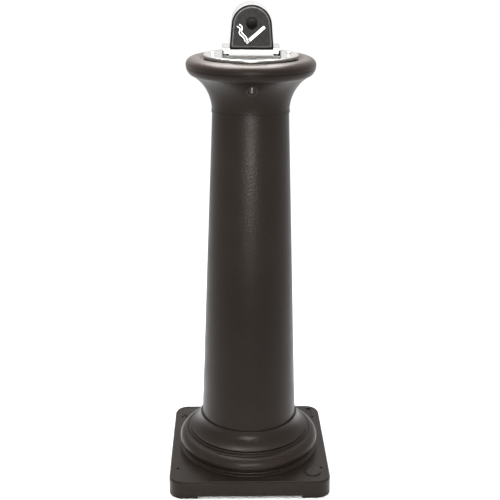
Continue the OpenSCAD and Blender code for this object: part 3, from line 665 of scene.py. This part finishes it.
def build_capital():
    """Bell-shaped capital with the lower half of the rim, the bucket's ledge and the lock's boss."""
    lip_r = 76.5
    throat = LEDGE_Z - 5
    wall = 3.8
    curve_low = NECK_Z + 7
    curve_rise = CREASE_Z - 0.4 - curve_low
    heights = [curve_low + curve_rise * math.sin(math.radians(1.5 * k)) for k in range(61)]
    curve = [(bell(z), z) for z in heights]
    rim = arc(RIM_CENTRE, RIM_A, RIM_LOW_B, rim_angle(CREASE_Z + 0.2), rim_angle(PARTING_Z - 0.9), 24)
    edge_r = rim[-1][0]
    inside_top = CREASE_Z - 5
    inside_heights = [inside_top - (inside_top - LEDGE_Z) * k / 24 for k in range(25)]
    inside = [(bell(z) - wall, z) for z in inside_heights]
    outline = softened([
        (SPIGOT_R + FIT_GAP, NECK_Z), (lip_r, NECK_Z, 0.6), (lip_r, NECK_Z + 5.3, 0.9),
        (75.8, NECK_Z + 6.2, 0.5), *curve, *rim, (edge_r - 0.1, PARTING_Z, 0.9), (MOUTH_R, PARTING_Z, 0.6),
        (MOUTH_R, CREASE_Z + 1, 1.5), *inside, (LEDGE_R, LEDGE_Z, 0.8), (LEDGE_R, throat, 0.8),
        (SPIGOT_R + FIT_GAP, throat)])
    boss = placed(drum(11.8, LOCK_SEAT_Y, LOCK_NUT_Y, edge=0.8), (0, 0, LOCK_Z), ALONG_Y)
    pocket = softened([(0, -130), (12.2, -130), (10.2, -96.5, 0.6), (10.2, LOCK_SEAT_Y), (8.9, LOCK_SEAT_Y),
                       (8.9, -70), (0, -70)])
    cutters = [placed(lathe(pocket, 96), (0, 0, LOCK_Z), ALONG_Y),
               hinge_pocket(PARTING_Z - LEAF_T, PARTING_Z + 2)]
    shape = carved(lathe(outline), [boss], "UNION")
    add_piece("capital_moulding", carved(shape, cutters), PLASTIC, "moulded_body", "column", "capital")


PLATE_LOW, PLATE_HIGH = box_mm("snuff_plate")
PLATE_Z = PLATE_HIGH.z
PLATE_R = PLATE_HIGH.x
SHEET = 1.6
PLATE_SCREW = (73.5, 10)
PLATE_RING = (82, 86)
LAND_R = 104
DECK_R = 62
DECK_T = 4
DECK_Z = PLATE_Z - 9
DROP_SIZE = (88, 76)


def plate_screw_places():
    """Middles of the two plate screws in plan."""
    return [(s * PLATE_SCREW[0], PLATE_SCREW[1]) for s in (-1, 1)]


def build_lid():
    """Upper half of the rim with the deck that carries the stubbing plate."""
    low = LID_LOW.z
    deck = DECK_Z
    under = PLATE_Z - SHEET
    crest = RIM_CENTRE[1] + RIM_HIGH_B
    rim = arc(RIM_CENTRE, RIM_A, RIM_LOW_B, rim_angle(low + 0.9), 0, 10)
    rim += arc(RIM_CENTRE, RIM_A, RIM_HIGH_B, 3, 90, 40)
    dish = arc((RIM_CENTRE[0], deck), 12, crest - deck, 94, 164, 20)
    outline = softened([
        (LAND_R, low, 0.6), (rim[0][0] - 0.1, low, 0.9), *rim, *dish, (95, deck, 1.0), (DECK_R, deck, 1.0),
        (DECK_R, deck - DECK_T, 1.0), (98, deck - DECK_T, 1.0), (LAND_R, deck - 9, 1.0)])
    inner, outer = PLATE_RING
    pedestal = lathe(softened([(inner, deck - 1), (outer, deck - 1), (outer, under), (inner, under)]))
    bosses = [drum(6.5, deck - 1, under, place) for place in plate_screw_places()]
    shape = carved(lathe(outline), [pedestal, *bosses], "UNION")
    screw_holes = [drum(2.25, deck - 2, PLATE_Z, place, segments=32) for place in plate_screw_places()]
    shape = carved(shape, [hinge_pocket(low - 2, low + LEAF_T), *screw_holes])
    add_piece("lid_moulding", shape, PLASTIC, "moulded_body", "lid", "lid_rim")


def build_snuff_plate():
    """Round stainless plate with a turned-down edge and the hole under the letterbox."""
    skirt = PLATE_LOW.z
    outline = softened([
        (0, PLATE_Z - SHEET), (PLATE_R - SHEET, PLATE_Z - SHEET, 1.2), (PLATE_R - SHEET, skirt, 0.3),
        (PLATE_R, skirt, 0.5), (PLATE_R, PLATE_Z, 1.8), (0, PLATE_Z)], 7)
    cutters = [slab(*DROP_SIZE, 4, PLATE_Z - 4, PLATE_Z + 2)]
    cutters += [drum(2.3, PLATE_Z - 4, PLATE_Z + 2, place, segments=32) for place in plate_screw_places()]
    plate = carved(lathe(outline), cutters)
    add_piece("stubbing_plate", plate, STEEL_X, "stainless_sheet", "lid", "snuff_plate")


def build_plate_screws():
    """Two pan-head screws with cross recesses that hold the plate down."""
    top = box_mm("plate_screws")[1].z
    head_r = 4.3
    screws = []
    for s in (-1, 1):
        outline = softened([(0, PLATE_Z - 9), (2.15, PLATE_Z - 9), (2.15, PLATE_Z), (head_r, PLATE_Z, 0.3),
                            (head_r, PLATE_Z + 1.2, 0.9), (head_r - 1.2, top - 0.25, 1.3),
                             (1.5, top), (0, top)])
        recess = [slab(4.6, 1.1, 0.3, top - 1.9, top + 1), slab(1.1, 4.6, 0.3, top - 1.9, top + 1)]
        screw = placed(carved(lathe(outline, 48), recess), turn=(20 * s, "Z"))
        screws.append(placed(screw, (s * PLATE_SCREW[0], PLATE_SCREW[1], 0)))
    add_piece("plate_screw_pair", joined(screws), PLATED, "steel_hardware", "lid", "plate_screws")


# ---------------------------------------------------------------- letterbox and hood
BOX_LOW, BOX_HIGH = box_mm("letterbox")
HOOD_LOW, HOOD_HIGH = box_mm("hood")
BOX_SHEET = 1.5
FRONT_Y = BOX_LOW.y
HOOD_Z = BOX_HIGH.z
ARCH_R = 37.4
HOOD_FOOT = HOOD_HIGH.x
ARCH_Z = HOOD_HIGH.z - ARCH_R
FACE_PROUD = 1.4
PANEL_PROUD = 0.8
PANEL_Y = FRONT_Y - FACE_PROUD - PANEL_PROUD
FACE_PLUG_Z = ARCH_Z + 3.4
FRAME_WIDTH = 3.0


def build_letterbox():
    """Flat stainless box with the front slot, open below over the drop hole."""
    width = 2 * BOX_HIGH.x
    depth = -2 * FRONT_Y
    t = BOX_SHEET
    levels = [(0.3, PLATE_Z), (0, PLATE_Z + 0.3), (0, HOOD_Z - 1.6), (0.25, HOOD_Z - 0.75),
              (0.8, HOOD_Z - 0.2), (1.6, HOOD_Z)]
    shell = loft([rounded_rect(width - 2 * inset, depth - 2 * inset, 2.4 - inset, z) for inset, z in levels])
    slot = slab(width - 4, HOOD_Z - PLATE_Z - 4.1, 1.0, FRONT_Y - 2, FRONT_Y + t + 1)
    slot_z = (PLATE_Z + 1.9 + HOOD_Z - 2.2) / 2
    cutters = [slab(width - 2 * t, depth - 2 * t, 1.2, PLATE_Z + t, HOOD_Z - t),
               slab(90, 77, 2, PLATE_Z - 1, PLATE_Z + t + 1),
               placed(slot, (0, 0, slot_z), ALONG_Y)]
    for s in (-1, 1):
        cutters.append(slab(width / 2, 2.4, 0.1, PLATE_Z - 1, PLATE_Z + 0.6,
                            (s * (2 + width / 4), FRONT_Y - 0.5)))
    add_piece("letterbox_shell", carved(shell, cutters), STEEL_X, "stainless_sheet", "lid", "letterbox")


def arch_ring(inset, y, low=HOOD_Z, steps=40):
    """Ring round the hood's arched outline at depth y, shrunk by inset all round."""
    r = ARCH_R - inset
    foot = HOOD_FOOT - inset
    drop = ARCH_Z - low - inset
    reach = math.hypot(foot, drop)
    tangent = math.degrees(math.acos(r / reach) - math.atan2(drop, foot))
    ring = arc((0, ARCH_Z), r, r, tangent, 180 - tangent, steps)
    heel = min(2.5, foot / 4)
    side = [(-foot, ARCH_Z - drop + heel), (-foot + 0.3 * heel, ARCH_Z - drop + 0.3 * heel),
            (-foot + heel, ARCH_Z - drop)]
    outline = ring + side + [(-x, z) for x, z in reversed(side)]
    return [Vector((x, y, z)) for x, z in outline]


def build_hood():
    """Arched stainless canopy, closed at the back, standing on the letterbox."""
    front = HOOD_LOW.y
    back = HOOD_HIGH.y
    t = BOX_SHEET
    bend = 3.0
    levels = [(t, back - t), (t, front + 0.4), (t - 0.35, front), (0.35, front), (0, front + 0.4),
              (0, back - bend)]
    levels += [(bend * (1 - math.cos(math.radians(a))), back - bend + bend * math.sin(math.radians(a)))
               for a in range(15, 91, 15)]
    shell = loft([arch_ring(inset, y) for inset, y in levels])
    floor_hole = slab(56, back - 8 - front - 2, 3, HOOD_Z - 1, HOOD_Z + t + 1, (0, (front + back - 6) / 2))
    add_piece("hood_canopy", carved(shell, [floor_hole]), STEEL_Y, "stainless_sheet", "lid", "hood")


def build_face():
    """Black front moulding: a matt outer frame coloured near-black as painted shade, a glossy bevel coloured
    lighter as a painted highlight, a raised panel and a dish round the plug.
    """
    frame_y = FRONT_Y - FACE_PROUD
    t = BOX_SHEET
    levels = [(t + 0.1, FRONT_Y + 7), (t + 0.1, FRONT_Y + 0.9), (-0.1, FRONT_Y + 0.8), (-0.1, frame_y + 0.7),
              (0.1, frame_y + 0.2), (0.6, frame_y), (FRAME_WIDTH - 0.4, frame_y + 0.3),
              (FRAME_WIDTH, frame_y + 0.2), (FRAME_WIDTH + 1.2, PANEL_Y + 0.4),
              (FRAME_WIDTH + 1.8, PANEL_Y + 0.1), (FRAME_WIDTH + 2.4, PANEL_Y)]
    face = loft([arch_ring(inset, y, HOOD_Z + 0.1) for inset, y in levels])
    dish = softened([(0, frame_y + 0.2), (10.6, frame_y + 0.2, 0.8), (12.6, PANEL_Y - 0.05, 0.5),
                     (13.2, PANEL_Y - 1), (0, PANEL_Y - 1)])
    bore = drum(6.1, PANEL_Y - 2, FRONT_Y + 8)
    cutters = [placed(lathe(dish, 96), (0, 0, FACE_PLUG_Z), ALONG_Y),
               placed(bore, (0, 0, FACE_PLUG_Z), ALONG_Y)]
    piece = add_piece("hood_face_moulding", carved(face, cutters), FACE_PANEL,
                      "face_plastic", "lid", "hood_face")
    # Second finish: the bevel's painted highlight; third finish: the frame's painted shade.
    piece.data.materials.append(FACE_BEVEL_PAINTED_HIGHLIGHT)
    piece.data.materials.append(FACE_PAINTED_SHADE)
    plug = Vector((0, FACE_PLUG_Z))
    for polygon in piece.data.polygons:
        corners = [piece.data.vertices[v].co / MM for v in polygon.vertices]
        nearest = max(corner.y for corner in corners)
        in_dish = all((corner.xz - plug).length < 14 for corner in corners)
        if nearest < PANEL_Y + 0.05 or in_dish:
            polygon.material_index = 0
        elif nearest < frame_y + 0.25 and min(corner.y for corner in corners) < PANEL_Y + 0.45:
            polygon.material_index = 1
        else:
            polygon.material_index = 2


def build_face_plug():
    """Domed cap over the fixing in the middle of the dish."""
    low, high = box_mm("face_plug")
    seat = FRONT_Y - FACE_PROUD + 0.2
    r = high.x
    rise = seat - low.y
    sphere = (r * r + rise * rise) / (2 * rise)
    dome = [(sphere * math.sin(t), low.y + sphere * (1 - math.cos(t)))
            for t in (math.asin((r - 0.4) / sphere) * k / 24 for k in range(25))]
    outline = softened([*dome, (r, seat - 0.3, 0.3), (r, seat, 0.2), (6, seat), (6, high.y, 0.6),
                        (0, high.y)])
    cap = placed(lathe(outline, 96), (0, 0, FACE_PLUG_Z), ALONG_Y)
    # The plug's near-black colour is painted shade.
    add_piece("face_plug_cap", cap, FACE_PAINTED_SHADE, "face_plastic", "lid", "face_plug")


SYMBOL_TILT = 41
SYMBOL_TIP = (-4.5, ARCH_Z - 26.8)
SYMBOL_PROUD = 0.35
BAR_LENGTH = 37.5
BAR_HALF = 2.8
EMBER_GAPS = (2.6, 5.6)
EMBER_LENGTH = 1.2
SMOKE_WIDTH = 1.8
SMOKE_SWAY = 3.4
SMOKE_TURNS = 1.5
SMOKE_ENDS = (((-8.4, -28.0), (-23.5, 2.4)), ((-12.6, -29.0), (-27.6, -1.0)))


def smoke_line(start, end, steps=60):
    """Line that rises from start to end, given from the arch's centre, and sways further as it rises."""
    path = []
    for k in range(steps + 1):
        u = k / steps
        sway = SMOKE_SWAY * math.sin(2 * math.pi * SMOKE_TURNS * u) * (0.35 + 0.65 * u)
        path.append(Vector((start[0] + (end[0] - start[0]) * u + sway,
                            ARCH_Z + start[1] + (end[1] - start[1]) * u)))
    return path


def flat_stroke(path, width):
    """Thin ribbon of constant width along a path in the face's plane, with tapered ends."""
    left, right = [], []
    for i, here in enumerate(path):
        ahead = path[min(i + 1, len(path) - 1)] - path[max(i - 1, 0)]
        side = Vector((-ahead.y, ahead.x)).normalized() * width / 2
        if i in (0, len(path) - 1):
            side *= 0.55
        left.append(here + side)
        right.append(here - side)
    return relief(left + right[::-1])


def relief(outline):
    """Closed outline in the face's plane raised to the symbol's thickness."""
    return loft([[Vector((p[0], y, p[1])) for p in outline]
                 for y in (PANEL_Y + 0.02, PANEL_Y - SYMBOL_PROUD)])


def build_symbol():
    """Generic pictogram of a lit cigarette: a bar, two ember strokes and two swaying lines of smoke."""
    turn = Matrix.Rotation(math.radians(SYMBOL_TILT), 2)
    tip = Vector(SYMBOL_TIP)
    bars = [(0, BAR_LENGTH, 0.7)]
    bars += [(-gap - EMBER_LENGTH, EMBER_LENGTH, 0.3) for gap in EMBER_GAPS]
    strokes = []
    for start, length, soft in bars:
        end = start + length
        corners = softened([(start, -BAR_HALF, soft), (end, -BAR_HALF, soft), (end, BAR_HALF, soft),
                            (start, BAR_HALF, soft)])
        strokes.append(relief([tip + turn @ corner for corner in corners]))
    strokes += [flat_stroke(smoke_line(start, end), SMOKE_WIDTH) for start, end in SMOKE_ENDS]
    add_piece("cigarette_pictogram", joined(strokes), WHITE, "symbol_white", "lid", "smoking_symbol")


# ---------------------------------------------------------------- lock
LOCK_FACE_Y = box_mm("lock_housing")[0].y
LOCK_END_Y = box_mm("lock_plug")[1].y
BARREL_R = box_mm("lock_plug")[1].x
KEYWAY = (2.8, 12.4)


def build_lock():
    """Flanged housing, turning barrel with a keyway, and the bright dust shutter inside the keyway."""
    housing = softened([
        (BARREL_R + 0.05, LOCK_FACE_Y + 0.2), (BARREL_R + 0.3, LOCK_FACE_Y, 0.2), (9.4, LOCK_FACE_Y, 0.6),
        (9.4, LOCK_SEAT_Y, 0.2), (8.8, LOCK_SEAT_Y), (8.8, LOCK_END_Y - 0.3, 0.4),
        (BARREL_R + 0.05, LOCK_END_Y - 0.3)])
    ring = placed(lathe(housing, 96), (0, 0, LOCK_Z), ALONG_Y)
    # Housing and barrel take the near-black painted shade of the lock's pocket.
    add_piece("lock_body", ring, LOCK_PAINTED_SHADE, "lock_metal", "column", "lock_housing")
    face = LOCK_FACE_Y - 0.4
    barrel = lathe(softened([(0, face + 0.15), (4.5, face + 0.05, 1), (BARREL_R, face, 0.5),
                             (BARREL_R, LOCK_END_Y),
                             (0, LOCK_END_Y)]), 96)
    keyway = slab(KEYWAY[0], KEYWAY[1], 1.3, face - 1, face + 4.4)
    screw_bore = drum(2.05, LOCK_END_Y - 8, LOCK_END_Y + 1)
    barrel = placed(carved(barrel, [keyway, screw_bore]), (0, 0, LOCK_Z), ALONG_Y)
    add_piece("lock_barrel", barrel, LOCK_PAINTED_SHADE, "lock_metal", "lock", "lock_plug")
    shutter = placed(slab(1.5, KEYWAY[1] - 2.4, 0.6, face + 0.5, face + 4.4, edge=0.2),
                     (0, 0, LOCK_Z), ALONG_Y)
    add_piece("keyway_shutter", shutter, LOCK_WORN, "lock_metal", "lock")


# ---------------------------------------------------------------- bucket
def build_bucket():
    """Galvanised bucket with a beaded foot and a flange with a rolled edge."""
    low, high = box_mm("bucket")
    floor_r, top_r, flange_r = 55, 61.5, high.x
    under = high.z - 1.5
    outline = softened([
        (0, low.z + 1.5), (floor_r - 6, low.z + 1.5, 2), (floor_r - 4, low.z, 1), (floor_r, low.z, 1.5),
        (floor_r + 0.1, low.z + 6, 1),
        *((floor_r + (top_r - floor_r) * k / 20, low.z + 8 + (under - low.z - 9) * k / 20)
          for k in range(21)),
        (top_r, under, 0.6), (flange_r - 0.4, under, 0.4), (flange_r, under + 0.75, 0.7),
        (flange_r - 0.4, high.z, 0.6), (top_r - 1, high.z, 1.0), (floor_r - 1, low.z + 8, 1),
        (floor_r - 1.4, low.z + 2.6, 1.2), (0, low.z + 2.6)])
    add_piece("bucket_shell", lathe(outline, 192), GALVANISED, "galvanised", "bucket", "bucket")


# ---------------------------------------------------------------- studio
CAMERA_AT = (-0.045, -1.8964, 1.1180)
CAMERA_YAW = 1.377
CAMERA_DOWN = 18.616
CAMERA_ROLL = 0.380
CAMERA_LENS = 70.58


def build_camera():
    """Camera in front of the bin and above it, looking down at it."""
    data = bpy.data.cameras.new("camera")
    data.sensor_width = 36
    data.lens = CAMERA_LENS
    camera = bpy.data.objects.new("camera", data)
    bpy.context.scene.collection.objects.link(camera)
    turn = Matrix.Rotation(math.radians(-CAMERA_YAW), 4, "Z")
    turn = turn @ Matrix.Rotation(math.radians(90 - CAMERA_DOWN), 4, "X")
    turn = turn @ Matrix.Rotation(math.radians(CAMERA_ROLL), 4, "Z")
    camera.matrix_world = Matrix.Translation(CAMERA_AT) @ turn
    bpy.context.scene.camera = camera


def add_softbox(name, at, aim, size, watts, spread=180):
    """Rectangular soft light, unseen by the camera itself; spread is the angle its grid lets through."""
    data = bpy.data.lights.new(name, "AREA")
    data.shape = "RECTANGLE"
    data.size, data.size_y = size
    data.energy = watts
    data.spread = math.radians(spread)
    light = bpy.data.objects.new(name, data)
    bpy.context.scene.collection.objects.link(light)
    light.location = at
    light.rotation_euler = (Vector(aim) - Vector(at)).to_track_quat("-Z", "Y").to_euler()
    light.visible_camera = False


def build_studio():
    """Plain pale floor, white surroundings and soft lights in front, low in front, above and behind."""
    bm = bmesh.new()
    bmesh.ops.create_grid(bm, x_segments=1, y_segments=1, size=30)
    mesh = bpy.data.meshes.new("studio_floor")
    bm.to_mesh(mesh)
    bm.free()
    floor = bpy.data.objects.new("studio_floor", mesh)
    bpy.context.scene.collection.objects.link(floor)
    paint = bpy.data.materials.new("studio_floor_paint")
    paint.use_nodes = True
    shader = paint.node_tree.nodes["Principled BSDF"]
    shader.inputs["Base Color"].default_value = (0.96, 0.96, 0.96, 1)
    shader.inputs["Roughness"].default_value = 0.9
    shader.inputs["Specular IOR Level"].default_value = 0.1
    mesh.materials.append(paint)
    world = bpy.data.worlds.new("studio")
    world.use_nodes = True
    background = world.node_tree.nodes["Background"]
    background.inputs["Color"].default_value = (1, 1, 1, 1)
    background.inputs["Strength"].default_value = 1.05
    bpy.context.scene.world = world
    bpy.context.scene.view_settings.view_transform = "Standard"
    add_softbox("front_softbox", (-0.02, -1.3, 0.66), (0, 0, 0.62), (1.3, 0.40), 1.6, 32)
    add_softbox("base_softbox", (-0.02, -1.3, 0.43), (0, -0.13, 0.07), (0.60, 0.20), 0.45, 25)
    add_softbox("overhead_softbox", (-0.04, 0.03, 1.15), (-0.04, 0.03, 0), (0.44, 0.38), 9.0, 120)
    add_softbox("back_softbox", (-0.4, 2.0, 2.5), (0, 0, 0.86), (3.2, 1.6), 20)


finish_cad_nodes()
build_plinth()
build_feet()
build_filler_plug("filler_plug_front")
build_filler_plug("filler_plug_rear")
build_base_ring()
build_collar()
build_shaft()
build_capital()
build_lid()
build_snuff_plate()
build_plate_screws()
build_letterbox()
build_hood()
build_face()
build_face_plug()
build_symbol()
build_lock()
build_bucket()
build_camera()
build_studio()
